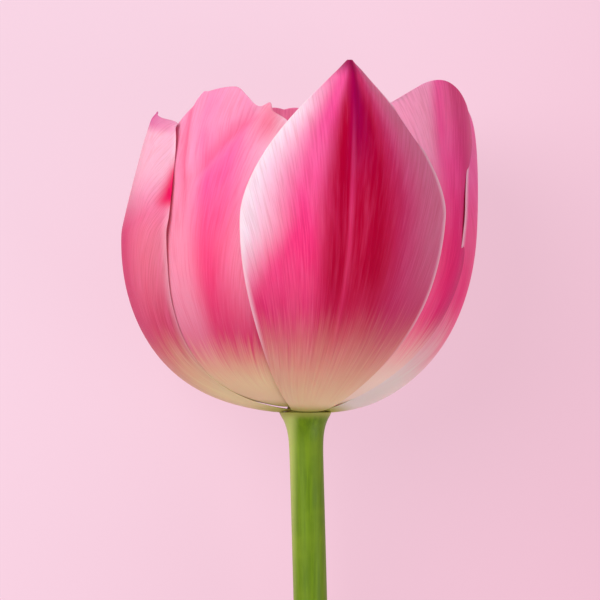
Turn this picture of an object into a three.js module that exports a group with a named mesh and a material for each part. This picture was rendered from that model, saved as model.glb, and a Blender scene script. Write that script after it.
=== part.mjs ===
// A cut tulip lying on its side: flower towards +Y, bare stem towards -Y, both resting on the floor z = 0.
// Each piece is first shaped upright in the flower's own frame (x to the right, y up the flower's axis,
// z out of its front, y = 0 where the tepals meet the stem), then the whole flower is laid down.
import * as THREE from "three";

// ---- Sizes: millimetres, angles in degrees, heights measured up the flower's axis ----

const CUP_RADIUS = 35.3; // outer tepals at the widest ring, middle of their thickness
const CUP_WIDEST = 36.5; // height of the widest ring
const CUP_SWING = -2.85; // how far the cup's belly hangs to one side of the stem,
const SWING_SOON = 15; // and how soon above the tepals' feet
const CUP_LEAN = 0.0457; // sideways lean of the cup back over the stem, per millimetre of height
const WIDEST_AT = 0.575; // share of a tepal's length at which it meets the widest ring
const WHORL_GAP = 0.7; // air between the outer and the inner whorl

const TEPAL_THICKNESS = 0.7;
const MARGIN_THICKNESS = 0.45; // the same blade at its edge
const OUTER_CLAW = 3.9; // half-width of a tepal's narrow foot
const INNER_CLAW = 3.6;
const BROADEST_AT = 0.62; // share of a tepal's length at which it is broadest
const SWERVE = 1.8; // how late the midrib swerves towards its tip's azimuth
const RIM_LATE = 8; // how late the rim's own shape starts
const BULGE_TO = 0.6; // share of a tepal's half-width that bulges in full
const TEPAL_ACROSS = 12; // facets across and along a tepal
const TEPAL_ALONG = 18;

const STEM_LENGTH = 200;
const STEM_RADIUS = 3.4;
const STEM_SWAY = 3.5; // sideways drift of the cut end
const STEM_SAG = 2; // bow at half length, towards the floor
const CUT_SLANT = 0.35; // slope of the knife cut
const NECK_RADIUS = 5.1; // the stem's flare under the tepals
const NECK_HEIGHT = 14;
const RECEPTACLE_HEIGHT = 2.8; // the button the flower's organs stand on
const RECEPTACLE_EDGE = 0.6; // height and inset of the button's rounded edge
const STEM_LEVELS = 14; // rings of facets along the shaft, and along the neck
const NECK_LEVELS = 8;
const NECK_FLARE = 6; // how late the neck widens
const FIT = 0.3; // clearance left between neighbouring pieces

const OVARY_HEIGHT = 18;
const OVARY_RADIUS = 2.7;
const OVARY_FOOT = 1.5; // radius of its narrow foot
const OVARY_RIDGE = 0.12; // how strongly its three sides show
const OVARY_BELLY = 0.86; // share of a full swell that the ovary goes through,
const OVARY_LOW = 0.8; // how far down its widest place sits,
const OVARY_FULL = 0.6; // and how fully it swells
const STIGMA_HEIGHT = 3.6;
const STIGMA_RADIUS = 3.4;
const STIGMA_LOBE = 0.3; // how deeply the stigma parts into three
const STIGMA_START = 0.45; // its swell opens from here
const STIGMA_END = 1.7; // and closes to here, 1 being its widest

const STAMENS = 6;
const STAMEN_LEAN = 15; // outwards from the flower's axis
const FILAMENT_LENGTH = 10.5;
const FILAMENT_FOOT = 0.75; // radius at the receptacle
const FILAMENT_TOP = 0.4; // radius under the anther
const ANTHER_LENGTH = 12;
const ANTHER_WIDTH = 2.6;
const ANTHER_DEPTH = 1.9;
const ANTHER_END = 0.35; // its blunt ends, as a share of its width

// ---- Places that follow from those sizes ----

const { clamp, degToRad, lerp, smoothstep } = THREE.MathUtils;
const turned = (share) => (Math.PI / 2) * share;

// The ovary narrows to its foot and again under the stigma; share 0 to 1 runs up it.
function ovaryRadius(share, angle) {
  const body = Math.sin(OVARY_BELLY * Math.PI * share ** OVARY_LOW) ** OVARY_FULL;
  return lerp(OVARY_FOOT, OVARY_RADIUS, body) * (1 + OVARY_RIDGE * body * Math.cos(3 * angle));
}

// The leaning stamens stand as close to the axis as the ovary's ridges allow.
const ringBeside = (share) =>
  ovaryRadius(share, 0) + FIT + FILAMENT_FOOT - share * OVARY_HEIGHT * Math.tan(degToRad(STAMEN_LEAN));
const STAMEN_RING = Math.max(...Array.from({ length: 21 }, (_, i) => ringBeside(i / 20)));
const RECEPTACLE_RADIUS = STAMEN_RING + FILAMENT_FOOT;
const CLAW_RADIUS = RECEPTACLE_RADIUS + FIT + TEPAL_THICKNESS / 2; // where a tepal's foot starts
const WHORL_STEP = WHORL_GAP + TEPAL_THICKNESS;

// ---- The six tepals ----

const OUTER = { radius: CUP_RADIUS, foot: FIT + TEPAL_THICKNESS / 2, claw: OUTER_CLAW };
const INNER = { radius: CUP_RADIUS - WHORL_STEP, foot: OUTER.foot + TEPAL_THICKNESS + FIT, claw: INNER_CLAW };

// azimuth: of the midrib at foot, widest ring and tip, from the front (0) towards the right (90).
// closing: how far left side, midrib and right side come in at the tip's height; late: how late.
// furrow: depth and half-width of the groove along the midrib. belly: how much flatter than an ellipse the
// tepal runs out from its foot, its margins excepted.
// left, right: half-width, how late it broadens from the foot, half-width left at the tip, how late and how
// bluntly the margin tapers to it, how much lower the rim ends there than at the midrib, and how much it
// rises in between, both as shares of the tepal's length.
const POINTED = { broaden: 1.5, tip: 0.5, taper: 1.75, blunt: 1, drop: 0, lobe: 0 };
const ROUNDED = { broaden: 0.9, tip: 7.5, taper: 2.2, blunt: 0.7, drop: 0.045, lobe: 0 };
const LYING_ON = 188; // azimuth of the tepal that faces the floor
const TEPALS = {
  tepal_outer_front: {
    whorl: OUTER, azimuth: [15.4, 16.4, 19], height: 70.4, closing: [6.6, 9.2, 8], late: 2,
    furrow: [0.5, 2.5], belly: 0,
    left: { ...POINTED, half: 22.1, broaden: 1.64, taper: 1.7, blunt: 1.03 },
    right: { ...POINTED, half: 24.2, broaden: 1.27, taper: 1.47, blunt: 1.13 },
  },
  tepal_outer_right: {
    whorl: OUTER, azimuth: [126, 123, 126], height: 64, closing: [3.2, 0.5, 3], late: 2,
    furrow: [0.8, 2.5], belly: 0.3,
    left: { ...POINTED, half: 29.7, broaden: 1.36, taper: 2.5, blunt: 0.6 },
    right: { ...POINTED, half: 23.5 },
  },
  tepal_outer_left: {
    whorl: OUTER, azimuth: [-96, -95, -90], height: 60.6, closing: [2.5, 5.2, 3], late: 1.1,
    furrow: [0.8, 2.5], belly: 0.12,
    left: { ...POINTED, half: 29 },
    right: { ...POINTED, half: 26.5, broaden: 1.32, tip: 15, taper: 1.2, blunt: 0.7, drop: 0.038 },
  },
  tepal_inner_left: {
    whorl: INNER, azimuth: [-43, -44, -45.5], height: 64.3, closing: [11, 7, 5.5], late: 2,
    furrow: [1.6, 5], belly: 0,
    left: { ...ROUNDED, half: 24, tip: 1.5, taper: 1.05, blunt: 1, drop: 0 },
    right: { ...ROUNDED, half: 25, tip: 18, drop: 0.04, lobe: 0.02 },
  },
  tepal_inner_right: {
    whorl: INNER, azimuth: [64, 63.7, 58], height: 66.6, closing: [12, 2.7, -1.6], late: 2,
    furrow: [1.6, 5], belly: 0,
    left: { ...ROUNDED, half: 25, tip: 9.7, drop: 0.058 },
    right: { ...ROUNDED, half: 25, tip: 9.5, taper: 1.33, blunt: 1, drop: 0.057 },
  },
  tepal_inner_back: {
    whorl: INNER, azimuth: [LYING_ON, LYING_ON, LYING_ON], height: 61.6, closing: [3, 3, 7], late: 2,
    furrow: [2.4, 7], belly: 0,
    left: { ...ROUNDED, half: 26.5, lobe: 0.013 },
    right: { ...ROUNDED, half: 26.5, lobe: 0.013 },
  },
};

// ---- Materials ----

const material = (color, roughness) => new THREE.MeshStandardMaterial({ color, roughness, metalness: 0 });
const OUTER_TISSUE = material("#d9447f", 0.5);
const INNER_TISSUE = material("#ef7fae", 0.5);
const STEM_SKIN = material("#86a33c", 0.5);
const PISTIL_FLESH = material("#c9d58a", 0.5);
const FILAMENT_FLESH = material("#efe6b4", 0.55);
const ANTHER_SKIN = material("#3d2433", 0.85);

// ---- Shapes ----

// The point of a tepal's middle surface an arc s across from the midrib, at share v of the length. Up to the
// widest ring the cup's profile is a quarter of an ellipse.
function surfacePoint(tepal, s, v) {
  const { radius, foot } = tepal.whorl;
  const below = Math.min(1, v / WIDEST_AT);
  const above = Math.max(0, (v - WIDEST_AT) / (1 - WIDEST_AT));
  const turn = lerp(Math.asin(CLAW_RADIUS / radius), turned(1), below);
  const half = halfWidth(tepal.whorl, s < 0 ? tepal.left : tepal.right, clamp(v, 0, 1));
  const inside = 1 - smoothstep(Math.abs(s) / half, BULGE_TO, 1);
  const rise = (1 - Math.cos(turn)) ** (1 + tepal.belly * inside);
  const height = foot + (CUP_WIDEST - foot) * rise + (tepal.height - CUP_WIDEST) * above;
  const [leftIn, midribIn, rightIn] = tepal.closing;
  const sideIn = s < 0 ? leftIn : rightIn;
  const closing = lerp(midribIn, sideIn, Math.abs(s) / CUP_RADIUS) * above ** tepal.late;
  const [depth, width] = tepal.furrow;
  const groove = smoothstep(v, 0.12, 0.4) * (1 - smoothstep(v, 0.8, 1));
  const furrow = depth * Math.exp(-((s / width) ** 2)) * groove;
  const r = radius * Math.sin(turn) - closing - furrow;
  const [footAzimuth, ringAzimuth, tipAzimuth] = tepal.azimuth;
  const midrib = lerp(lerp(footAzimuth, ringAzimuth, below), tipAzimuth, above ** SWERVE);
  const angle = degToRad(midrib) + s / r;
  const centre = CUP_SWING * (1 - Math.exp(-rise * SWING_SOON)) + CUP_LEAN * height;
  return new THREE.Vector3(centre + r * Math.sin(angle), height, r * Math.cos(angle));
}

function halfWidth(whorl, side, along) {
  if (along < BROADEST_AT)
    return lerp(whorl.claw, side.half, Math.sin(turned(along / BROADEST_AT)) ** side.broaden);
  const above = (along - BROADEST_AT) / (1 - BROADEST_AT);
  return lerp(side.tip, side.half, (1 - above ** side.taper) ** side.blunt);
}

// A blade: a flat slab of facets bent on to the tepal's surface, thinner at its margins.
function tepalGeometry(tepal) {
  const slab = new THREE.BoxGeometry(2, 1, 1, TEPAL_ACROSS, TEPAL_ALONG, 1);
  const place = slab.getAttribute("position");
  const step = 0.001; // share of the blade over which its slope is taken
  for (let i = 0; i < place.count; i++) {
    const u = place.getX(i);
    const along = place.getY(i) + 0.5;
    const side = u < 0 ? tepal.left : tepal.right;
    const rim = side.lobe * Math.sin(Math.PI * Math.abs(u)) - side.drop * u * u;
    const v = along + rim * along ** RIM_LATE;
    const s = u * halfWidth(tepal.whorl, side, along);
    const at = (ds, dv) => surfacePoint(tepal, s + ds * tepal.height, v + dv);
    const across = at(step, 0).sub(at(-step, 0));
    const upward = at(0, step).sub(at(0, -step));
    const outward = across.cross(upward).normalize();
    const thickness = lerp(TEPAL_THICKNESS, MARGIN_THICKNESS, u * u);
    const point = at(0, 0).addScaledVector(outward, thickness * place.getZ(i));
    place.setXYZ(i, point.x, point.y, point.z);
  }
  return slab;
}

// A rod swept up a centre line: radiusAt(share, angle) and centreAt(share, x, z) shape it, share 0 to 1.
function rodGeometry(around, along, radiusAt, centreAt) {
  const rod = new THREE.CylinderGeometry(1, 1, 1, around, along);
  const place = rod.getAttribute("position");
  for (let i = 0; i < place.count; i++) {
    const share = place.getY(i) + 0.5;
    const [x, z] = [place.getX(i), place.getZ(i)];
    const radius = radiusAt(share, Math.atan2(x, z));
    const centre = centreAt(share, x * radius, z * radius);
    place.setXYZ(i, centre.x + x * radius, centre.y, centre.z + z * radius);
  }
  return rod;
}

// The stem: a slightly bowed rod with a slanted cut below, a flared neck above and a button on top.
function stemGeometry() {
  const levels = [];
  for (let i = 0; i <= STEM_LEVELS; i++)
    levels.push([lerp(-STEM_LENGTH, -NECK_HEIGHT, i / STEM_LEVELS), STEM_RADIUS]);
  for (let i = 1; i <= NECK_LEVELS; i++) {
    const up = i / NECK_LEVELS;
    levels.push([-NECK_HEIGHT * (1 - up), lerp(STEM_RADIUS, NECK_RADIUS, up ** NECK_FLARE)]);
  }
  levels.push(
    [0, RECEPTACLE_RADIUS],
    [RECEPTACLE_HEIGHT - RECEPTACLE_EDGE, RECEPTACLE_RADIUS],
    [RECEPTACLE_HEIGHT, RECEPTACLE_RADIUS - RECEPTACLE_EDGE],
  );
  const level = (share) => levels[Math.round(share * (levels.length - 1))];
  return rodGeometry(
    20,
    levels.length - 1,
    (share) => level(share)[1],
    (share, x) => {
      const height = level(share)[0];
      const down = Math.max(0, -height / STEM_LENGTH);
      return new THREE.Vector3(
        STEM_SWAY * Math.sin(turned(down)),
        height + (share === 0 ? CUT_SLANT * x : 0),
        -STEM_SAG * Math.sin(Math.PI * down),
      );
    },
  );
}

// The pistil: a three-sided ovary that narrows to its foot, crowned by a three-lobed stigma.
function pistilGeometry() {
  const height = OVARY_HEIGHT + STIGMA_HEIGHT;
  const neck = OVARY_HEIGHT / height;
  const radiusAt = (share, angle) => {
    if (share < neck) return ovaryRadius(share / neck, angle);
    const swell = lerp(STIGMA_START, STIGMA_END, (share - neck) / (1 - neck));
    return STIGMA_RADIUS * Math.sin(turned(swell)) * (1 + STIGMA_LOBE * Math.cos(3 * angle));
  };
  return rodGeometry(24, 18, radiusAt, (share) =>
    new THREE.Vector3(0, RECEPTACLE_HEIGHT + FIT + share * height, 0),
  );
}

// A stamen's pieces lean outwards from the receptacle; azimuth tells them apart.
function leaned(geometry, azimuth) {
  return geometry
    .rotateX(degToRad(STAMEN_LEAN))
    .translate(0, RECEPTACLE_HEIGHT + FIT, STAMEN_RING)
    .rotateY(degToRad(azimuth));
}

const filamentGeometry = () =>
  rodGeometry(
    10,
    6,
    (share) => lerp(FILAMENT_FOOT, FILAMENT_TOP, share),
    (share) => new THREE.Vector3(0, FIT + share * FILAMENT_LENGTH, 0),
  );

const antherGeometry = () =>
  rodGeometry(
    10,
    8,
    (share) => lerp(ANTHER_END, 1, Math.sqrt(Math.max(0, Math.sin(Math.PI * share)))),
    (share) => new THREE.Vector3(0, share, 0),
  )
    .scale(ANTHER_WIDTH / 2, ANTHER_LENGTH, ANTHER_DEPTH / 2)
    .translate(0, FILAMENT_LENGTH + 2 * FIT, 0);

// ---- The flower, upright ----

const flower = new THREE.Group();
function add(name, geometry, surface) {
  const mesh = new THREE.Mesh(geometry, surface);
  mesh.name = name;
  flower.add(mesh);
}

add("stem", stemGeometry(), STEM_SKIN);
for (const [name, tepal] of Object.entries(TEPALS))
  add(name, tepalGeometry(tepal), tepal.whorl === OUTER ? OUTER_TISSUE : INNER_TISSUE);
add("pistil", pistilGeometry(), PISTIL_FLESH);
for (let i = 1; i <= STAMENS; i++) {
  const azimuth = ((i - 0.5) * 360) / STAMENS;
  add(`filament_${i}`, leaned(filamentGeometry(), azimuth), FILAMENT_FLESH);
  add(`anther_${i}`, leaned(antherGeometry(), azimuth), ANTHER_SKIN);
}

// ---- Laying it down: roll its underside to the floor, then tilt until flower and cut end both touch ----

const box = (objects) => objects.reduce((all, mesh) => all.expandByObject(mesh, true), new THREE.Box3());
function layDown(tilt) {
  flower.rotation.set(tilt, degToRad(180 - LYING_ON), 0, "XYZ");
  flower.updateMatrixWorld(true);
}
const [stem, ...head] = flower.children;
let [low, high] = [0, degToRad(30)];
for (let i = 0; i < 40; i++) {
  layDown((low + high) / 2);
  if (box([stem]).min.z > box(head).min.z) low = (low + high) / 2;
  else high = (low + high) / 2;
}
const extent = box(flower.children);
const centre = extent.getCenter(new THREE.Vector3());
flower.position.set(-centre.x, -centre.y, -extent.min.z);
flower.updateMatrixWorld(true);

const part = new THREE.Group();
part.add(flower);
export default part;
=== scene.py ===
import math

import bpy
from mathutils import Matrix, Vector


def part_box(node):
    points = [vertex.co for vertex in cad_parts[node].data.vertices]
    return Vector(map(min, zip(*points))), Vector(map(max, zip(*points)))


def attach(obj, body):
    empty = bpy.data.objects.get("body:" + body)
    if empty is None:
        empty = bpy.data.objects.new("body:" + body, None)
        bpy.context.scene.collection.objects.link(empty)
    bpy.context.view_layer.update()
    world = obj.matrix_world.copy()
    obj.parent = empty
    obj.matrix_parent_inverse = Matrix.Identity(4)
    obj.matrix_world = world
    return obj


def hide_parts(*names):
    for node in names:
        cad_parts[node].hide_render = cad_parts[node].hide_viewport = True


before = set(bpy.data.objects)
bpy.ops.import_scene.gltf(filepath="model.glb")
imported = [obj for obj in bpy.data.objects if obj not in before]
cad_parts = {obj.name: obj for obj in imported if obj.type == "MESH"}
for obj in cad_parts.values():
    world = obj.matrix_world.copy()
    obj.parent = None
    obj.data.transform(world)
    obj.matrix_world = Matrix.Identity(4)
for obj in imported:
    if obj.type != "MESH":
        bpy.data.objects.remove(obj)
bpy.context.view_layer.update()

# The stem.
# The real one is a juicy, slightly bowed green rod, cut slantwise with a florist's knife. It widens into a
# neck, and ends in the receptacle: the small round button that every other piece of the flower grows on.
stem_length = 0.200
stem_radius = 0.0034
stem_sway = 0.0035  # sideways drift of the cut end
stem_sag = 0.002  # bow at half length
stem_steps = 28
cut_slant = 0.35
neck_radius = 0.0051
neck_height = 0.014
neck_flare = 6  # how late the neck widens
neck_steps = 14
button_radius = 0.0036
button_height = 0.0028
fit = 0.0003  # air between neighbouring pieces


def between(a, b, share):
    return a + (b - a) * share


def smooth(share):
    share = min(1.0, max(0.0, share))
    return share * share * (3.0 - 2.0 * share)


def take(name):
    """The object just added, alone in the selection and named."""
    piece = bpy.context.object
    piece.name = piece.data.name = name
    return piece


def clear_selection():
    if bpy.context.object and bpy.context.object.mode == "EDIT":
        bpy.ops.object.mode_set(mode="OBJECT")
    bpy.ops.object.select_all(action="DESELECT")


def finish_modifiers(piece):
    bpy.ops.object.select_all(action="DESELECT")
    piece.select_set(True)
    bpy.context.view_layer.objects.active = piece
    for modifier in list(piece.modifiers):
        bpy.ops.object.modifier_apply(modifier=modifier.name)
    bpy.ops.object.shade_smooth()


def stem_line(height):
    """The middle of the stem at a height below the petals, in the upright flower's own frame."""
    down = max(0.0, -height / stem_length)
    x = stem_sway * math.sin(math.pi / 2 * down)
    return Vector((x, height, -stem_sag * math.sin(math.pi * down)))


clear_selection()
start = -stem_length - cut_slant * stem_radius * 1.5
bpy.ops.mesh.primitive_circle_add(
    vertices=32, radius=stem_radius, location=stem_line(start), rotation=(math.pi / 2, 0, 0)
)
stem = take("stem_skin")
bpy.ops.object.transform_apply(location=True, rotation=True, scale=True)
bpy.ops.object.mode_set(mode="EDIT")
bpy.ops.mesh.select_all(action="SELECT")
rings = [(between(start, -neck_height, i / stem_steps), stem_radius) for i in range(1, stem_steps + 1)]
for i in range(1, neck_steps + 1):
    up = i / neck_steps
    rings.append((-neck_height * (1 - up), between(stem_radius, neck_radius, up**neck_flare)))
rings += [
    (0.00025, neck_radius * 1.01),
    (0.00045, neck_radius * 1.04),
    (0.0005, neck_radius * 0.98),
    (0.0005, button_radius * 1.2),
    (0.0006, button_radius),
    (button_height * 0.8, button_radius),
    (button_height, button_radius * 0.8),
]
height, radius = start, stem_radius
for next_height, next_radius in rings:
    step = stem_line(next_height) - stem_line(height)
    bpy.ops.mesh.extrude_edges_move(TRANSFORM_OT_translate={"value": step})
    grow = next_radius / radius
    bpy.ops.transform.resize(value=(grow, 1, grow), center_override=stem_line(next_height))
    height, radius = next_height, next_radius
bpy.ops.mesh.edge_face_add()
bpy.ops.mesh.inset(thickness=button_radius * 0.3)
bpy.ops.mesh.select_all(action="SELECT")
bpy.ops.mesh.bisect(
    plane_co=stem_line(-stem_length), plane_no=(cut_slant, -1, 0), use_fill=True, clear_outer=True
)
bpy.ops.mesh.inset(thickness=stem_radius * 0.08)
bpy.ops.mesh.inset(thickness=stem_radius * 0.08)
bpy.ops.mesh.select_all(action="SELECT")
bpy.ops.mesh.normals_make_consistent(inside=False)
bpy.ops.object.mode_set(mode="OBJECT")
round_off = stem.modifiers.new("round", "SUBSURF")
round_off.levels = round_off.render_levels = 1
finish_modifiers(stem)

# The flower lies on its side: rolled until one petal faces the floor, and tilted until petal and cut end
# both rest on it. Its place along the floor is where the frame holds the stem.
roll = math.radians(-8.0)
tilt = math.radians(7.258)
turn = Matrix.Rotation(tilt, 4, "X") @ Matrix.Rotation(roll, 4, "Y")
stem.data.transform(turn)
low = [min(vertex.co[axis] for vertex in stem.data.vertices) for axis in range(3)]
high = [max(vertex.co[axis] for vertex in stem.data.vertices) for axis in range(3)]
frame_low, frame_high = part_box("stem")
shift = Vector((
    (frame_low[0] + frame_high[0] - low[0] - high[0]) / 2,
    (frame_low[1] + frame_high[1] - low[1] - high[1]) / 2,
    frame_low[2] - low[2],
))
stem.data.transform(Matrix.Translation(shift))
laid = Matrix.Translation(shift) @ turn  # from the upright flower's own frame to where it lies


def new_material(name):
    material = bpy.data.materials.new(name)
    material.use_nodes = True
    nodes = material.node_tree.nodes
    return material, nodes, material.node_tree.links, nodes["Principled BSDF"]


def add(nodes, kind, **settings):
    made = nodes.new(kind)
    for key, value in settings.items():
        setattr(made, key, value)
    return made


def maths(tree, operation, *values):
    """A Math node; a value is a number or another node's output."""
    made = tree.nodes.new("ShaderNodeMath")
    made.operation = operation
    for socket, value in zip(made.inputs, values):
        if isinstance(value, (int, float)):
            socket.default_value = value
        else:
            tree.links.new(value, socket)
    return made.outputs[0]


def step_between(tree, value, low, high, to_low=0.0, to_high=1.0):
    """A smooth rise of value from low to high."""
    made = tree.nodes.new("ShaderNodeMapRange")
    made.interpolation_type = "SMOOTHSTEP"
    for socket, given in zip(made.inputs, (value, low, high, to_low, to_high)):
        if isinstance(given, (int, float)):
            socket.default_value = given
        else:
            tree.links.new(given, socket)
    return made.outputs[0]


def blend_colours(tree, share, first, second):
    made = tree.nodes.new("ShaderNodeMix")
    made.data_type = "RGBA"
    for socket, value in ((made.inputs[0], share), (made.inputs[6], first), (made.inputs[7], second)):
        if isinstance(value, (int, float, tuple)):
            socket.default_value = value
        else:
            tree.links.new(value, socket)
    return made.outputs[2]


def noise_of(tree, vector, scale, detail=3.0, roughness=0.5):
    made = tree.nodes.new("ShaderNodeTexNoise")
    made.inputs["Scale"].default_value = scale
    made.inputs["Detail"].default_value = detail
    made.inputs["Roughness"].default_value = roughness
    tree.links.new(vector, made.inputs["Vector"])
    return made.outputs[0]


stem_green = (0.155, 0.27, 0.003, 1)
stem_dark = (0.115, 0.21, 0.002, 1)
foot_cream = (0.38, 0.38, 0.08, 1)
stem_bloom = (0.22, 0.34, 0.01, 1)
stem_highlight_green = (0.52, 0.62, 0.16, 1)
skin, nodes, links, shader = new_material("stem green")
tree = skin.node_tree
where = add(nodes, "ShaderNodeTexCoord").outputs["Object"]
along_stem = add(nodes, "ShaderNodeMapping", vector_type="TEXTURE")
along_stem.inputs["Rotation"].default_value = (tilt, 0, 0)
along_stem.inputs["Scale"].default_value = (1, 22, 1)
links.new(where, along_stem.inputs["Vector"])
fibres = noise_of(tree, along_stem.outputs[0], 1500, 3, 0.6)
mottle = noise_of(tree, where, 110, 3)
green = blend_colours(tree, step_between(tree, fibres, 0.35, 0.68), stem_dark, stem_green)
green = blend_colours(tree, step_between(tree, mottle, 0.45, 0.8, 0, 0.55), green, stem_bloom)
split = add(nodes, "ShaderNodeSeparateXYZ")
links.new(where, split.inputs[0])
# Painted highlight: the stem's side towards the lamp is painted a paler green.
beside = maths(tree, "ADD", split.outputs[0], -shift.x)
flank = step_between(tree, beside, -0.45 * stem_radius, -1.05 * stem_radius, 0, 0.9)
green = blend_colours(tree, flank, green, stem_highlight_green)
risen = add(nodes, "ShaderNodeVectorMath", operation="DOT_PRODUCT")
risen.inputs[1].default_value = turn.col[1].to_3d()
links.new(where, risen.inputs[0])
risen = maths(tree, "ADD", risen.outputs["Value"], -shift.dot(turn.col[1].to_3d()))
green = blend_colours(tree, step_between(tree, risen, -0.0012, 0.0006), green, foot_cream)
links.new(green, shader.inputs["Base Color"])
ridges = add(nodes, "ShaderNodeBump")
ridges.inputs["Strength"].default_value = 0.35
ridges.inputs["Distance"].default_value = 0.00012
links.new(fibres, ridges.inputs["Height"])
links.new(ridges.outputs[0], shader.inputs["Normal"])
links.new(step_between(tree, mottle, 0.3, 0.8, 0.42, 0.58), shader.inputs["Roughness"])
shader.inputs["Subsurface Weight"].default_value = 0.15
shader.inputs["Subsurface Radius"].default_value = (0.6, 1.0, 0.2)
shader.inputs["Subsurface Scale"].default_value = 0.0012
shader.inputs["Specular IOR Level"].default_value = 0.25
stem.data.materials.append(skin)

pith_pale = (0.62, 0.70, 0.33, 1)
pith_green = (0.30, 0.42, 0.09, 1)
pith, nodes, links, shader = new_material("stem cut face")
tree = pith.node_tree
where = add(nodes, "ShaderNodeTexCoord").outputs["Object"]
strands = add(nodes, "ShaderNodeTexVoronoi")
strands.inputs["Scale"].default_value = 1400
links.new(where, strands.inputs["Vector"])
dots = step_between(tree, strands.outputs["Distance"], 0.1, 0.35)
links.new(blend_colours(tree, dots, pith_green, pith_pale), shader.inputs["Base Color"])
wet = add(nodes, "ShaderNodeBump")
wet.inputs["Strength"].default_value = 0.4
wet.inputs["Distance"].default_value = 0.0001
links.new(dots, wet.inputs["Height"])
links.new(wet.outputs[0], shader.inputs["Normal"])
shader.inputs["Roughness"].default_value = 0.3
stem.data.materials.append(pith)
cut_facing = turn.to_3x3() @ Vector((cut_slant, -1, 0)).normalized()
for face in stem.data.polygons:
    face.material_index = 1 if face.normal.dot(cut_facing) > 0.9 else 0
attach(stem, "root")
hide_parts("stem")

# The outer petals.
# Three thick, satiny blades on narrow feet close the cup from outside. Each grows from the rim of the
# receptacle, swells to the cup's widest ring and runs to a point, with its margins turned by its own growth.
cup_radius = 0.0353
cup_widest = 0.0365
cup_swing = -0.00285  # how far the cup's belly hangs to one side of the stem
swing_rate = 15  # how soon above the foot it does
cup_lean = 0.0457  # and how it rights itself with height
widest_at = 0.575  # share of a petal's length at the widest ring
whorl_step = 0.0014  # from the outer petals in to the inner ones
petal_thickness = 0.0007
foot_radius = 0.00425
broadest_at = 0.62  # share of a petal's length at which it is broadest
swerve = 1.8  # how late a midrib turns to its tip's azimuth
rim_late = 8  # how late the rim's own shape starts
petal_across = 56  # faces across and along a petal
petal_along = 84
rows_to_tip = 0.35  # how much closer the rows lie towards the tip
blade_thickness = 0.001  # foot, middle and margin keep these shares of it
foot_share = 0.9
middle_share = 0.7
margin_share = 0.16
fan_foot = 0.0045  # width of the veins' fan at the foot, and how much it widens up to the tip
fan_spread = 0.049
outer_whorl = {"radius": cup_radius, "foot": fit + petal_thickness / 2, "claw": 0.0039}


def half_width(whorl, side, along):
    if along < broadest_at:
        share = math.sin(math.pi / 2 * along / broadest_at) ** side["broaden"]
        return between(whorl["claw"], side["half"], share)
    above = (along - broadest_at) / (1 - broadest_at)
    return between(side["tip"], side["half"], (1 - above ** side["taper"]) ** side["blunt"])


def petal_point(petal, across, along, s, v):
    """A point of the petal's middle surface: s is the arc from the midrib, v the share of the length."""
    whorl = petal["whorl"]
    below = min(1.0, v / widest_at)
    above = max(0.0, (v - widest_at) / (1 - widest_at))
    bend = between(math.asin(foot_radius / whorl["radius"]), math.pi / 2, below)
    inside = smooth((1 - abs(across)) / 0.4)
    rise = (1 - max(0.0, math.cos(bend))) ** (1 + petal["belly"] * inside)
    height = whorl["foot"] + (cup_widest - whorl["foot"]) * rise + (petal["height"] - cup_widest) * above
    left_in, rib_in, right_in = petal["closing"]
    side_in = left_in if s < 0 else right_in
    closing = between(rib_in, side_in, abs(s) / cup_radius) * above ** petal["late"]
    depth, width = petal["furrow"]
    furrow = depth * math.exp(-((s / width) ** 2)) * smooth((v - 0.12) / 0.28) * (1 - smooth((v - 0.8) / 0.2))
    r = whorl["radius"] * math.sin(bend) - closing - furrow
    r += petal["relief"](across, along, s, height)
    foot_turn, ring_turn, tip_turn = petal["azimuth"]
    rib = between(between(foot_turn, ring_turn, below), tip_turn, above**swerve)
    angle = math.radians(rib) + s / r
    centre = cup_swing * (1 - math.exp(-rise * swing_rate)) + cup_lean * height
    return Vector((centre + r * math.sin(angle), height, r * math.cos(angle)))


def grow_petal(name, petal):
    """A petal as a curved grid, thickened into a blade that thins to its margins."""
    clear_selection()
    bpy.ops.mesh.primitive_grid_add(x_subdivisions=petal_across, y_subdivisions=petal_along, size=2)
    blade = take(name)
    mesh = blade.data
    mesh.uv_layers[0].name = "petal"
    veins = mesh.uv_layers.new(name="veins")
    spread = []
    thick = blade.vertex_groups.new(name="thick")
    for vertex in mesh.vertices:
        across = vertex.co.x
        along = (vertex.co.y + 1) / 2
        along = between(along, math.sin(math.pi / 2 * along), rows_to_tip)
        side = petal["left"] if across < 0 else petal["right"]
        s = across * half_width(petal["whorl"], side, along)
        rim = side["lobe"] * math.sin(math.pi * abs(across)) - side["drop"] * across**2
        v = along + rim * along**rim_late
        v += petal["rim"](across, s) / petal["height"] * along**rim_late
        vertex.co = petal_point(petal, across, along, s, v)
        fan = fan_foot + fan_spread * along
        # Besides the veins' fan, the map keeps how much painted shade a crease or slit puts on each point.
        spread.append((s / fan, petal["crease"](across, along, s), across, along))
        body = between(foot_share, middle_share, smooth(along / 0.2))
        edge = max(abs(across) ** 2.5, smooth((along - 0.88) / 0.12))
        thick.add([vertex.index], between(body, margin_share, edge), "REPLACE")
    for loop in mesh.loops:
        vein, crease, across, along = spread[loop.vertex_index]
        veins.data[loop.index].uv = (vein, crease)
        mesh.uv_layers["petal"].data[loop.index].uv = ((across + 1) / 2, along)
    mesh.transform(laid)
    wall = blade.modifiers.new("blade", "SOLIDIFY")
    wall.thickness = blade_thickness
    wall.offset = 0
    wall.vertex_group = "thick"
    wall.thickness_vertex_group = 0
    soften = blade.modifiers.new("soften", "SUBSURF")
    soften.levels = soften.render_levels = 1
    finish_modifiers(blade)
    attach(blade, "root")
    return blade


def group_inputs(group, kind, **values):
    """Named inputs of a node group, each with its usual value."""
    for name, value in values.items():
        label = name.replace("_", " ")
        socket = group.interface.new_socket(label, in_out="INPUT", socket_type="NodeSocket" + kind)
        socket.default_value = value
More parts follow.
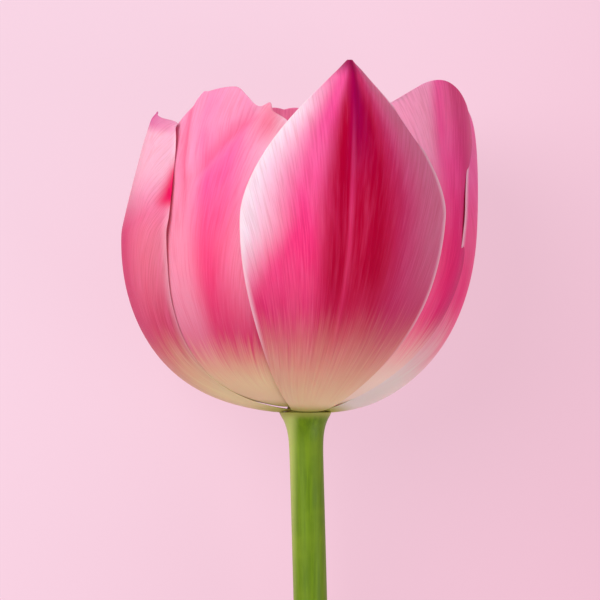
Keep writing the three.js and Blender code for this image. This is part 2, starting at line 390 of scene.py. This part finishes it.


# Tulip tissue: cream at the foot, then a blush that climbs it in streaks along the veins. Crimson bands lie
# beside the paler midrib, the margins fade, and the fine veins fan out to them and stand up a little.
# Painted light lies over it: shade on the side turned from the lamp, on the keel and in creases and slits,
# a highlight on the margin the lamp grazes, and light shining through the thin hems. It is also painted
# darker and duller towards the foot.
tissue = bpy.data.node_groups.new("tulip tissue", "ShaderNodeTree")
group_inputs(
    tissue, "Color",
    Blush=(0.92, 0.04, 0.21, 1), Deep=(0.44, 0.0, 0.032, 1), Dusk=(0.54, 0.015, 0.14, 1),
    Pale=(0.96, 0.42, 0.60, 1), Cream=(0.88, 0.68, 0.38, 1), Point=(0.22, 0.004, 0.06, 1),
)
group_inputs(
    tissue, "Float",
    Fade_low=0.12, Fade_high=0.38, Bands=0.5, Dusk_share=0.0, Dusk_from=0.22, Dusk_to=0.5,
    Left_margin=0.4, Right_margin=0.4, Flank=0.0, Flank_low=0.4, Flank_from=0.28, Flank_to=-0.05,
    Low_share=0.7, Rim=0.0, Keel=0.0, Apex_low=1.0, Apex_wide=0.7, Hem=0.6, Seed=0.0,
)
for name, kind in (("Colour", "Color"), ("Relief", "Float"), ("Roughness", "Float")):
    tissue.interface.new_socket(name, in_out="OUTPUT", socket_type="NodeSocket" + kind)
given = tissue.nodes.new("NodeGroupInput").outputs
result = tissue.nodes.new("NodeGroupOutput").inputs
petal_map = add(tissue.nodes, "ShaderNodeUVMap", uv_map="petal")
vein_map = add(tissue.nodes, "ShaderNodeUVMap", uv_map="veins")
split = tissue.nodes.new("ShaderNodeSeparateXYZ")
tissue.links.new(petal_map.outputs[0], split.inputs[0])
across = maths(tissue, "MULTIPLY_ADD", split.outputs[0], 2, -1)
along = split.outputs[1]
out = maths(tissue, "ABSOLUTE", across)
split = tissue.nodes.new("ShaderNodeSeparateXYZ")
tissue.links.new(vein_map.outputs[0], split.inputs[0])
vein = split.outputs[0]
crease = split.outputs[1]


rose = (0.92, 0.09, 0.36, 1)
soft_rose = (0.96, 0.30, 0.48, 1)
low_dull_red = (0.56, 0.04, 0.12, 1)
vein_rose = (0.95, 0.20, 0.44, 1)
keel_shade_purple = (0.36, 0.0, 0.08, 1)
hem_pale_and_glow = (0.98, 0.72, 0.80, 1)
crease_shade_red = (0.80, 0.005, 0.10, 1)
foot_green = (0.46, 0.45, 0.10, 1)


def vein_streaks(across_scale, along_scale, offset, detail):
    place = tissue.nodes.new("ShaderNodeCombineXYZ")
    tissue.links.new(maths(tissue, "MULTIPLY", vein, across_scale), place.inputs[0])
    tissue.links.new(maths(tissue, "MULTIPLY", along, along_scale), place.inputs[1])
    tissue.links.new(maths(tissue, "ADD", given["Seed"], offset), place.inputs[2])
    return noise_of(tissue, place.outputs[0], 1.0, detail, 0.6)


def times(*values):
    product = values[0]
    for value in values[1:]:
        product = maths(tissue, "MULTIPLY", product, value)
    return product


def rising(value, low, high, to_low=0.0, to_high=1.0):
    return step_between(tissue, value, low, high, to_low, to_high)


fine = vein_streaks(120, 9.0, 0.0, 3)
middling = vein_streaks(30, 4.5, 7.0, 3)
broad = vein_streaks(5, 3.4, 13.0, 2)
climb = maths(tissue, "ADD", along, maths(tissue, "MULTIPLY_ADD", middling, 0.11, -0.055))
climb = maths(tissue, "ADD", climb, maths(tissue, "MULTIPLY_ADD", fine, 0.05, -0.025))
blushed = rising(climb, given["Fade low"], given["Fade high"])
climbed = times(rising(along, 0.20, 0.5), rising(along, 1.0, 0.88, 0.5, 1.0))
ragged = rising(middling, 0.3, 0.62, 0.8, 1.0)
left_band = times(rising(across, -0.40, -0.12), rising(across, -0.0, -0.04))
right_band = times(rising(across, -0.0, 0.05), rising(across, 0.62, 0.26))
rib = times(rising(out, 0.05, 0.0), 0.6)
band = times(maths(tissue, "ADD", maths(tissue, "ADD", left_band, right_band), rib), climbed, ragged)
band = times(band, given["Bands"])
# Painted shade: the side of the petal turned from the lamp is painted a darker, duller red.
painted_shade = rising(across, given["Dusk from"], given["Dusk to"])
painted_shade = times(painted_shade, rising(along, 0.16, 0.4), given["Dusk share"])
# Pale margins: partly the margins' own paler tissue, partly a painted highlight where the lamp from the left
# grazes the left margin.
left_start = rising(along, 0.42, 0.62, -0.75, -0.42)
left_margin_and_highlight = times(rising(across, left_start, -1.03), rising(along, 0.40, 0.60), given["Left margin"])
left_margin_and_highlight = times(left_margin_and_highlight, rising(along, 0.97, 0.86, 0.15, 1.0))
right_edge = times(rising(across, 0.3, 0.95), rising(along, 0.3, 0.6), given["Right margin"])
edge = times(maths(tissue, "ADD", left_margin_and_highlight, right_edge), rising(middling, 0.25, 0.7, 0.9, 1.05))
flank_top = maths(tissue, "ADD", given["Flank low"], 0.3)
flank = rising(across, given["Flank from"], given["Flank to"])
flank = times(flank, rising(along, given["Flank low"], flank_top), given["Flank"])
# The thin hem: partly its own paler tone, partly painted light shining through it.
hem = times(rising(out, 0.93, 1.0), rising(along, 0.2, 0.4), given["Hem"])
rim = times(rising(along, 0.66, 0.98), rising(broad, 0.3, 0.6, 0.6, 1.0), given["Rim"])
upper = rising(along, 0.5, 0.8, 0.0, 0.85)
# Painted shade: dark purple on the keel near the point, mostly on its flank turned from the lamp.
keel_shade_left = rising(along, 0.86, 1.0, -0.12, -0.5)
keel = times(rising(across, keel_shade_left, 0.02), rising(across, 0.40, 0.06))
keel = times(keel, rising(along, 0.64, 0.92), given["Keel"])
colour = blend_colours(tissue, upper, given["Blush"], rose)
colour = blend_colours(tissue, rising(broad, 0.35, 0.68, 0.0, 0.2), colour, soft_rose)
colour = blend_colours(tissue, painted_shade, colour, given["Dusk"])
# Darker and duller red towards the foot.
lower_dulling = times(rising(along, 0.56, 0.30), given["Low share"])
colour = blend_colours(tissue, lower_dulling, colour, low_dull_red)
fading = maths(tissue, "MAXIMUM", maths(tissue, "MAXIMUM", edge, flank), rim)
colour = blend_colours(tissue, fading, colour, given["Pale"])
colour = blend_colours(tissue, rising(fine, 0.5, 0.3, 0.0, 0.16), colour, vein_rose)
colour = blend_colours(tissue, band, colour, given["Deep"])
colour = blend_colours(tissue, keel, colour, keel_shade_purple)
colour = blend_colours(tissue, rising(fine, 0.42, 0.66, 0.0, 0.20), colour, given["Deep"])
colour = blend_colours(tissue, blushed, given["Cream"], colour)
colour = blend_colours(tissue, hem, colour, hem_pale_and_glow)
# Painted shade: a deep red in the creases, folds and slits.
colour = blend_colours(tissue, crease, colour, crease_shade_red)
colour = blend_colours(tissue, rising(along, 0.09, 0.01), colour, foot_green)
apex_top = maths(tissue, "ADD", given["Apex low"], 0.05)
apex = times(rising(along, given["Apex low"], apex_top), rising(across, given["Apex wide"], 0.2), 0.9)
tissue.links.new(blend_colours(tissue, apex, colour, given["Point"]), result["Colour"])
relief = maths(tissue, "MULTIPLY_ADD", middling, 0.9, maths(tissue, "MULTIPLY", fine, 0.7))
tissue.links.new(relief, result["Relief"])
tissue.links.new(rising(fine, 0.3, 0.7, 0.52, 0.40), result["Roughness"])


def petal_finish(name, **values):
    material, nodes, links, shader = new_material(name)
    grown = add(nodes, "ShaderNodeGroup", node_tree=tissue)
    for key, value in values.items():
        grown.inputs[key.replace("_", " ")].default_value = value
    links.new(grown.outputs["Colour"], shader.inputs["Base Color"])
    links.new(grown.outputs["Roughness"], shader.inputs["Roughness"])
    ribs = add(nodes, "ShaderNodeBump")
    ribs.inputs["Strength"].default_value = 0.35
    ribs.inputs["Distance"].default_value = 0.00015
    links.new(grown.outputs["Relief"], ribs.inputs["Height"])
    links.new(ribs.outputs[0], shader.inputs["Normal"])
    shader.inputs["Subsurface Weight"].default_value = 0.25
    shader.inputs["Subsurface Radius"].default_value = (1.0, 0.25, 0.35)
    shader.inputs["Subsurface Scale"].default_value = 0.0016
    shader.inputs["Sheen Weight"].default_value = 0.01
    shader.inputs["Sheen Roughness"].default_value = 0.35
    shader.inputs["Sheen Tint"].default_value = (1.0, 0.6, 0.8, 1)
    shader.inputs["Specular IOR Level"].default_value = 0.06
    shader.inputs["Specular Tint"].default_value = (1.0, 0.3, 0.6, 1)
    return material


def flat_rim(across, s):
    return 0.0


def no_crease(across, along, s):
    return 0.0


def tuck(across, along, left, right, start=0.6):
    """The margins lie close against the petal within; they turn in from a share of the half-width."""
    depth = left if across < 0 else right
    return -depth * smooth((abs(across) - start) / (1 - start)) * between(0.45, 1, smooth(along / 0.1))


def keeled(across, along, s, height):
    """A sharp keel towards the point, which hooks inwards."""
    keel = 0.0010 * max(0.0, 1 - abs(s) / 0.004) * smooth((along - 0.66) / 0.2)
    rib = 0.00018 * math.exp(-((s / 0.0007) ** 2)) * smooth((along - 0.15) / 0.2)
    wave = 0.0002 * math.sin(along * 21) * abs(across) ** 6
    hook = -0.0009 * smooth((along - 0.97) / 0.03)
    return keel + rib + wave + hook + tuck(across, along, 0.0006, 0.0006)


def curled(across, along, s, height):
    """The showing margin swells and rolls inwards in its upper half, and the point is a small hood."""
    upper = smooth((along - 0.62) / 0.1)
    roll = 0.0008 * smooth((across - 0.3) / 0.35) * (1 - smooth((across - 0.72) / 0.2)) * upper
    hood = -0.0007 * smooth((along - 0.97) / 0.03)
    lean = tuck(across, along, 0.0002, 0.0015, 0.78) * (1 - 0.42 * smooth((along - 0.48) / 0.14))
    return roll + hood + lean


def rolled_gap(across, along, s):
    """Painted shade in the deep slit between the rolled margin and the petal within."""
    length = smooth((along - 0.64) / 0.05) * (1 - smooth((along - 0.78) / 0.1))
    return length * smooth((across - 0.8 - 0.7 * (along - 0.65)) / 0.12)


def plain(across, along, s, height):
    """A slightly waved margin."""
    return 0.0002 * math.sin(along * 19) * abs(across) ** 6


def leaning(across, along, s, height):
    """Only the showing margin leans in, and less in its upper half."""
    return tuck(across, along, 0.0017, 0.0002, 0.7) * (1 - 0.4 * smooth((along - 0.48) / 0.16))


def resting(across, along, s, height):
    """The petal that the flower lies on is pressed in a little."""
    return plain(across, along, s, height) - 0.0003 * smooth((along - 0.25) / 0.2)


pointed = {"broaden": 1.5, "tip": 0.0005, "taper": 1.75, "blunt": 1, "drop": 0, "lobe": 0}
outer_petals = {
    "tepal_outer_front": {
        "whorl": outer_whorl, "azimuth": (15.4, 16.4, 19), "height": 0.0704,
        "closing": (0.0066, 0.0092, 0.008), "late": 2, "furrow": (0.0005, 0.0025),
        "left": {**pointed, "half": 0.0221, "taper": 1.7, "blunt": 1.03, "broaden": 1.64},
        "right": {**pointed, "half": 0.0242, "taper": 1.47, "blunt": 1.13, "broaden": 1.27},
        "relief": keeled, "rim": flat_rim, "crease": no_crease, "belly": 0,
    },
    "tepal_outer_right": {
        "whorl": outer_whorl, "azimuth": (126, 123, 126), "height": 0.064,
        "closing": (0.0032, 0.0005, 0.003), "late": 2, "furrow": (0.0008, 0.0025),
        "left": {**pointed, "half": 0.0297, "taper": 2.5, "blunt": 0.6, "broaden": 1.36},
        "right": {**pointed, "half": 0.0235},
        "relief": leaning, "rim": flat_rim, "crease": no_crease, "belly": 0.3,
    },
    "tepal_outer_left": {
        "whorl": outer_whorl, "azimuth": (-96, -95, -90), "height": 0.0606,
        "closing": (0.0025, 0.0052, 0.003), "late": 1.1, "furrow": (0.0008, 0.0025),
        "left": {**pointed, "half": 0.029},
        "right": {
            **pointed, "half": 0.0271, "broaden": 1.32, "tip": 0.018,
            "taper": 1.2, "blunt": 0.7, "drop": 0.044,
        },
        "relief": curled, "rim": flat_rim, "crease": rolled_gap, "belly": 0.12,
    },
}
# The finishes paint shade on the side of a petal turned from the lamp; the front petal's white left margin is
# partly a painted highlight.
outer_finishes = {
    "tepal_outer_front": petal_finish(
        "petal front", Pale=(0.98, 0.80, 0.90, 1),
        Bands=1.0, Dusk_share=0.9, Left_margin=1.0, Right_margin=0.2, Keel=1.0, Apex_low=0.95,
        Fade_low=0.05, Fade_high=0.42, Seed=1.0,
    ),
    "tepal_outer_right": petal_finish(
        "petal right", Cream=(0.92, 0.76, 0.70, 1),
        Left_margin=0.1, Fade_low=0.18, Fade_high=0.45, Low_share=0.0, Seed=2.0,
    ),
    "tepal_outer_left": petal_finish(
        "petal left", Blush=(0.80, 0.09, 0.18, 1), Dusk=(0.56, 0.012, 0.12, 1),
        Pale=(0.98, 0.64, 0.73, 1), Point=(0.62, 0.04, 0.26, 1),
        Bands=0.0, Dusk_share=0.9, Dusk_from=0.95, Dusk_to=0.2, Right_margin=0.2, Keel=0.0,
        Flank=0.7, Flank_low=0.54, Flank_from=-0.5, Flank_to=-0.05,
        Apex_low=0.92, Apex_wide=1.5, Hem=0.25, Seed=3.0,
    ),
}
for name, petal in outer_petals.items():
    blade = grow_petal("blade_" + name[6:], petal)
    blade.data.materials.append(outer_finishes[name])
    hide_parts(name)

# The inner petals.
# Three broader, blunter and paler blades stand just inside the outer ones and cover the gaps between them.
# A furrow runs up each midrib, and the rims are round, notched or pleated where they grew against the others.
inner_whorl = {
    "radius": cup_radius - whorl_step, "foot": outer_whorl["foot"] + petal_thickness + fit, "claw": 0.0036,
}
left_rise = 0.0278  # of the left inner petal above the widest ring


def hump(value, middle, width):
    return math.exp(-(((value - middle) / width) ** 2))


def pleated_rim(across, s):
    """The left inner petal's rim: a broad dome, a dip, and one small pleat beside it."""
    shoulder = -0.0023 * smooth((s - 0.007) / 0.0065)
    return shoulder - 0.0006 * hump(s, 0.0129, 0.0009) + 0.0013 * hump(s, 0.0150, 0.0009)


def side_crease(s, height):
    """How near a point is to the crease that parts the left petal's pale flank from its middle."""
    above = max(0.0, (height - cup_widest) / left_rise)
    return hump(s, -0.0003 - 0.0045 * above**1.2, 0.0009) * smooth((height - 0.034) / 0.012)


def fold_line(s, height):
    """Distance across the diagonal fold that runs from the rim's dip down towards the midrib."""
    return (s - 0.0140) * 0.748 - (height - 0.061) * 0.663


def left_creases(across, along, s):
    """Painted shade along the left petal's side crease, diagonal fold and pleat, and in the corner beyond it.
    """
    height = cup_widest + (along - widest_at) / (1 - widest_at) * left_rise
    fold = hump(fold_line(s, height), 0, 0.0012) * smooth((height - 0.044) / 0.008)
    pleat = hump(s, 0.0152, 0.0010) * smooth((height - 0.054) / 0.005)
    corner = hump(s, 0.0165, 0.0028) * smooth((height - 0.052) / 0.007)
    return max(0.40 * side_crease(s, height), 0.30 * fold, 0.45 * pleat, 0.55 * corner)


def folded(across, along, s, height):
    """A diagonal fold runs from the rim's dip down towards the midrib, under the swollen dome."""
    run = smooth((height - 0.044) / 0.006)
    across_fold = fold_line(s, height)
    valley = -0.0010 * hump(across_fold, 0, 0.0016) * run
    dome = 0.0006 * hump(across_fold, -0.005, 0.004) * run
    return plain(across, along, s, height) + valley + dome - 0.0005 * side_crease(s, height)


rounded = {"broaden": 0.9, "tip": 0.0075, "taper": 2.2, "blunt": 0.7, "drop": 0.045, "lobe": 0}
inner_petals = {
    "tepal_inner_left": {
        "whorl": inner_whorl, "azimuth": (-43, -44, -45.5), "height": 0.0643,
        "closing": (0.011, 0.007, 0.0055), "late": 2, "furrow": (0.0016, 0.005),
        "left": {**rounded, "half": 0.024, "tip": 0.0015, "taper": 1.05, "blunt": 1, "drop": 0},
        "right": {**rounded, "half": 0.025, "tip": 0.018, "drop": 0.04, "lobe": 0.02},
        "relief": folded, "rim": pleated_rim, "crease": left_creases, "belly": 0,
    },
    "tepal_inner_right": {
        "whorl": inner_whorl, "azimuth": (64, 63.7, 58), "height": 0.0666,
        "closing": (0.012, 0.0027, -0.0016), "late": 2, "furrow": (0.0016, 0.005),
        "left": {**rounded, "half": 0.025, "tip": 0.0097, "drop": 0.058},
        "right": {**rounded, "half": 0.025, "tip": 0.0095, "taper": 1.33, "blunt": 1, "drop": 0.057},
        "relief": plain, "rim": flat_rim, "crease": no_crease, "belly": 0,
    },
    "tepal_inner_back": {
        "whorl": inner_whorl, "azimuth": (188, 188, 188), "height": 0.0616,
        "closing": (0.003, 0.003, 0.007), "late": 2, "furrow": (0.0024, 0.007),
        "left": {**rounded, "half": 0.0265, "lobe": 0.013},
        "right": {**rounded, "half": 0.0265, "lobe": 0.013},
        "relief": resting, "rim": flat_rim, "crease": no_crease, "belly": 0,
    },
}
inner_finishes = {
    "tepal_inner_left": petal_finish(
        "petal inner left", Blush=(0.92, 0.07, 0.22, 1), Deep=(0.70, 0.015, 0.09, 1),
        Pale=(0.98, 0.60, 0.73, 1),
        Bands=0.0, Rim=0.45, Flank=0.42, Flank_low=0.15, Right_margin=1.0,
        Fade_low=0.14, Fade_high=0.34, Seed=4.0,
    ),
    "tepal_inner_right": petal_finish(
        "petal inner right", Blush=(0.92, 0.03, 0.20, 1), Cream=(0.92, 0.74, 0.58, 1),
        Bands=0.0, Dusk_share=0.8, Dusk_from=0.0, Dusk_to=0.4, Left_margin=0.5, Right_margin=0.0,
        Flank=0.8, Flank_low=0.56, Flank_from=-0.02, Flank_to=-0.32, Low_share=0.0, Rim=0.1,
        Fade_low=0.16, Fade_high=0.40, Seed=5.0,
    ),
    "tepal_inner_back": petal_finish(
        "petal inner back", Blush=(0.92, 0.07, 0.22, 1),
        Bands=0.3, Rim=0.5, Fade_low=0.14, Fade_high=0.30, Seed=6.0,
    ),
}
for name, petal in inner_petals.items():
    blade = grow_petal("blade_" + name[6:], petal)
    blade.data.materials.append(inner_finishes[name])
    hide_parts(name)

# The pistil.
# Three fleshy carpels grown together into a pale green, three-sided column on the receptacle. Their downy,
# cream-coloured stigma lobes part at its top.
organ_foot = button_height + fit
ovary_height = 0.018
ovary_radius = 0.0027
ovary_foot = 0.0015
ovary_ridge = 0.12  # how strongly its three sides show
ovary_levels = 16
stigma_height = 0.0036
stigma_radius = 0.0034
stigma_lobe = 0.2  # how much deeper the stigma parts into three
stigma_levels = 7
neck_share = ovary_height / (ovary_height + stigma_height)


def rod(name, around, rings, section):
    """A closed rod built ring by ring up the axis; section(share, angle) reshapes its round outline."""
    clear_selection()
    bpy.ops.mesh.primitive_circle_add(
        vertices=around, radius=rings[0][1], fill_type="NGON",
        location=(0, rings[0][0], 0), rotation=(math.pi / 2, 0, 0),
    )
    bpy.ops.object.transform_apply(location=True, rotation=True, scale=True)
    made = take(name)
    bpy.ops.object.mode_set(mode="EDIT")
    bpy.ops.mesh.select_all(action="SELECT")
    for (height, radius), (next_height, next_radius) in zip(rings, rings[1:]):
        bpy.ops.mesh.extrude_region_move(TRANSFORM_OT_translate={"value": (0, next_height - height, 0)})
        grow = next_radius / radius
        bpy.ops.transform.resize(value=(grow, 1, grow), center_override=(0, next_height, 0))
    bpy.ops.mesh.select_all(action="SELECT")
    bpy.ops.mesh.normals_make_consistent(inside=False)
    bpy.ops.object.mode_set(mode="OBJECT")
    length = rings[-1][0] - rings[0][0]
    levels = made.data.uv_layers.new(name="levels")
    for vertex in made.data.vertices:
        share = (vertex.co.y - rings[0][0]) / length
        scale = section(share, math.atan2(vertex.co.x, vertex.co.z))
        vertex.co.x *= scale
        vertex.co.z *= scale
    for loop in made.data.loops:
        share = (made.data.vertices[loop.vertex_index].co.y - rings[0][0]) / length
        levels.data[loop.index].uv = (0.5, share)
    soften = made.modifiers.new("soften", "SUBSURF")
    soften.levels = soften.render_levels = 1
    finish_modifiers(made)
    return made


def carpels(share, angle):
    """Three ridges up the ovary, which part into lobes at the stigma."""
    ridges = ovary_ridge + stigma_lobe * smooth((share - neck_share) / 0.05)
    return 1 + ridges * smooth(share / 0.15) * math.cos(3 * angle)


column = []
for i in range(ovary_levels + 1):
    up = i / ovary_levels
    body = math.sin(0.86 * math.pi * up**0.8) ** 0.6
    column.append((organ_foot + ovary_height * up, between(ovary_foot, ovary_radius, body)))
for i in range(1, stigma_levels + 1):
    up = i / stigma_levels
    swell = math.sin(math.pi / 2 * between(0.45, 1.7, up))
    column.append((organ_foot + ovary_height + stigma_height * up, stigma_radius * swell))
pistil = rod("ovary_column", 36, column, carpels)
pistil.data.transform(laid)
flesh, nodes, links, shader = new_material("pistil flesh")
tree = flesh.node_tree
where = add(nodes, "ShaderNodeTexCoord").outputs["Object"]
split = add(nodes, "ShaderNodeSeparateXYZ")
links.new(add(nodes, "ShaderNodeUVMap", uv_map="levels").outputs[0], split.inputs[0])
cells = noise_of(tree, where, 900, 3)
green = step_between(tree, cells, 0.35, 0.65)
green = blend_colours(tree, green, (0.27, 0.40, 0.07, 1), (0.42, 0.53, 0.16, 1))
down = step_between(tree, split.outputs[1], 0.80, 0.90)
links.new(blend_colours(tree, down, green, (0.80, 0.68, 0.34, 1)), shader.inputs["Base Color"])
fuzz = add(nodes, "ShaderNodeBump")
fuzz.inputs["Strength"].default_value = 0.5
fuzz.inputs["Distance"].default_value = 0.0001
links.new(cells, fuzz.inputs["Height"])
links.new(fuzz.outputs[0], shader.inputs["Normal"])
links.new(step_between(tree, down, 0, 1, 0.4, 0.8), shader.inputs["Roughness"])
pistil.data.materials.append(flesh)
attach(pistil, "root")
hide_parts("pistil")

# The stamens.
# Six stand in a ring about the pistil and lean outwards. Each is a smooth, cream-coloured stalk that tapers
# up to a dark pollen sac, parted down its length and dusted with its own pollen.
stamens = 6
stamen_lean = math.radians(15)
filament_length = 0.0105
filament_foot = 0.00075
filament_top = 0.0004
filament_levels = 8
stamen_ring = button_radius - filament_foot
anther_length = 0.012
anther_radius = 0.0013
anther_end = 0.35  # its blunt ends, as a share of its radius
anther_levels = 12


def sacs(share, angle):
    """Flattened, with a groove down front and back between the two sacs."""
    flat = 0.73 + 0.27 * math.sin(angle) ** 2
    return flat * (1 - 0.22 * abs(math.cos(angle)) ** 6 * smooth(share / 0.2) * smooth((1 - share) / 0.2))


stalk_rings = []
for i in range(filament_levels + 1):
    up = i / filament_levels
    stalk_rings.append((fit + filament_length * up, between(filament_foot, filament_top, up)))
sac_rings = []
for i in range(anther_levels + 1):
    up = i / anther_levels
    swell = between(anther_end, 1, math.sqrt(abs(math.sin(math.pi * up))))
    sac_rings.append((2 * fit + filament_length + anther_length * up, anther_radius * swell))
stalks = [rod("stalk_1", 14, stalk_rings, lambda share, angle: 1)]
pollen_sacs = [rod("sac_1", 20, sac_rings, sacs)]
for pieces in (stalks, pollen_sacs):
    for i in range(2, stamens + 1):
        clear_selection()
        pieces[0].select_set(True)
        bpy.context.view_layer.objects.active = pieces[0]
        bpy.ops.object.duplicate()
        pieces.append(take(pieces[0].name[:-1] + str(i)))

stalk_flesh, nodes, links, shader = new_material("filament flesh")
tree = stalk_flesh.node_tree
where = add(nodes, "ShaderNodeTexCoord").outputs["Object"]
split = add(nodes, "ShaderNodeSeparateXYZ")
links.new(add(nodes, "ShaderNodeUVMap", uv_map="levels").outputs[0], split.inputs[0])
grain = noise_of(tree, where, 1200, 3)
pale = blend_colours(tree, grain, (0.80, 0.70, 0.36, 1), (0.88, 0.80, 0.50, 1))
dusky = step_between(tree, split.outputs[1], 0.6, 1.0, 0.0, 0.6)
links.new(blend_colours(tree, dusky, pale, (0.34, 0.20, 0.12, 1)), shader.inputs["Base Color"])
links.new(step_between(tree, grain, 0.3, 0.7, 0.45, 0.6), shader.inputs["Roughness"])

sac_skin, nodes, links, shader = new_material("anther skin")
tree = sac_skin.node_tree
where = add(nodes, "ShaderNodeTexCoord").outputs["Object"]
dust = noise_of(tree, where, 5200, 2, 0.7)
patch = noise_of(tree, where, 700, 2)
skin_tone = blend_colours(tree, patch, (0.018, 0.006, 0.016, 1), (0.07, 0.025, 0.05, 1))
speck = maths(tree, "MULTIPLY", step_between(tree, dust, 0.52, 0.62), step_between(tree, patch, 0.4, 0.6))
links.new(blend_colours(tree, speck, skin_tone, (0.30, 0.19, 0.06, 1)), shader.inputs["Base Color"])
grit = add(nodes, "ShaderNodeBump")
grit.inputs["Strength"].default_value = 0.6
grit.inputs["Distance"].default_value = 0.00008
links.new(dust, grit.inputs["Height"])
links.new(grit.outputs[0], shader.inputs["Normal"])
links.new(step_between(tree, speck, 0, 1, 0.6, 0.9), shader.inputs["Roughness"])

for i in range(stamens):
    around = Matrix.Rotation(math.radians((i + 0.5) * 360 / stamens), 4, "Y")
    place = Matrix.Translation((0, organ_foot, stamen_ring)) @ Matrix.Rotation(stamen_lean, 4, "X")
    for pieces, kind, finish in ((stalks, "filament", stalk_flesh), (pollen_sacs, "anther", sac_skin)):
        pieces[i].data.transform(laid @ around @ place)
        pieces[i].data.materials.append(finish)
        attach(pieces[i], "root")
        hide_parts(f"{kind}_{i + 1}")

# The floor.
# A sheet of pale pink card with painted light: paler on the lamp's side, darker away from it, and glowing a
# little, so that the flower's shadow on it stays faint. It runs far out, so that no edge of it shows.
clear_selection()
bpy.ops.mesh.primitive_plane_add(size=12, location=(0, 0, 0))
floor = take("floor")
card, nodes, links, shader = new_material("pink card")
tree = card.node_tree
where = add(nodes, "ShaderNodeTexCoord").outputs["Object"]
slope = add(nodes, "ShaderNodeVectorMath", operation="DOT_PRODUCT")
slope.inputs[1].default_value = (0.80, -0.55, 0)
links.new(where, slope.inputs[0])
# Painted light: paler on the lamp's side and darker away from it; the card's glow keeps the flower's shadow
# faint.
painted_light_grade = step_between(tree, slope.outputs["Value"], -0.13, 0.10)
card_tone_and_glow = blend_colours(tree, painted_light_grade, (0.20, 0.142, 0.168, 1), (0.18, 0.104, 0.130, 1))
links.new(card_tone_and_glow, shader.inputs["Base Color"])
links.new(card_tone_and_glow, shader.inputs["Emission Color"])
shader.inputs["Emission Strength"].default_value = 3.75
shader.inputs["Roughness"].default_value = 0.95
shader.inputs["Specular IOR Level"].default_value = 0.1
floor.data.materials.append(card)

# The light.
# One large soft lamp stands to the left of the flower, and a weak one fills from the right. The room around
# gives a faint even glow.


def soft_lamp(name, place, size, power, colour):
    """A round lamp at a place in the upright flower's own frame, aimed at the cup."""
    lamp = bpy.data.lights.new(name, "AREA")
    lamp.shape = "DISK"
    lamp.size = size
    lamp.energy = power
    lamp.color = colour
    holder = bpy.data.objects.new(name, lamp)
    bpy.context.scene.collection.objects.link(holder)
    holder.location = laid @ Vector(place)
    aim = laid @ Vector((0, 0.035, 0))
    holder.rotation_euler = (aim - holder.location).to_track_quat("-Z", "Y").to_euler()


soft_lamp("key", (-0.72, 0.55, 1.1), 1.1, 17, (1.0, 0.98, 0.98))
soft_lamp("fill", (1.1, -0.45, 0.7), 1.0, 7, (1.0, 0.96, 0.98))
world = bpy.data.worlds.new("room")
bpy.context.scene.world = world
world.use_nodes = True
world.node_tree.nodes["Background"].inputs[0].default_value = (1.0, 0.93, 0.95, 1)
world.node_tree.nodes["Background"].inputs[1].default_value = 0.33
bpy.context.scene.view_settings.view_transform = "Standard"

# The camera.
# It looks straight on to the flower's front, square to the flower's own axis, from far off, so that the cup
# fills the frame and the stem runs out of its lower edge.
view_distance = 2.0
view_height = 0.120  # height of what the frame takes in
view_middle = Vector((-0.00106, 0.0229, 0))
eye = bpy.data.cameras.new("camera")
eye.sensor_width = 36
eye.lens = eye.sensor_width * view_distance / view_height
camera = bpy.data.objects.new("camera", eye)
bpy.context.scene.collection.objects.link(camera)
camera.matrix_world = laid @ Matrix.Translation(view_middle + Vector((0, 0, view_distance)))
bpy.context.scene.camera = camera
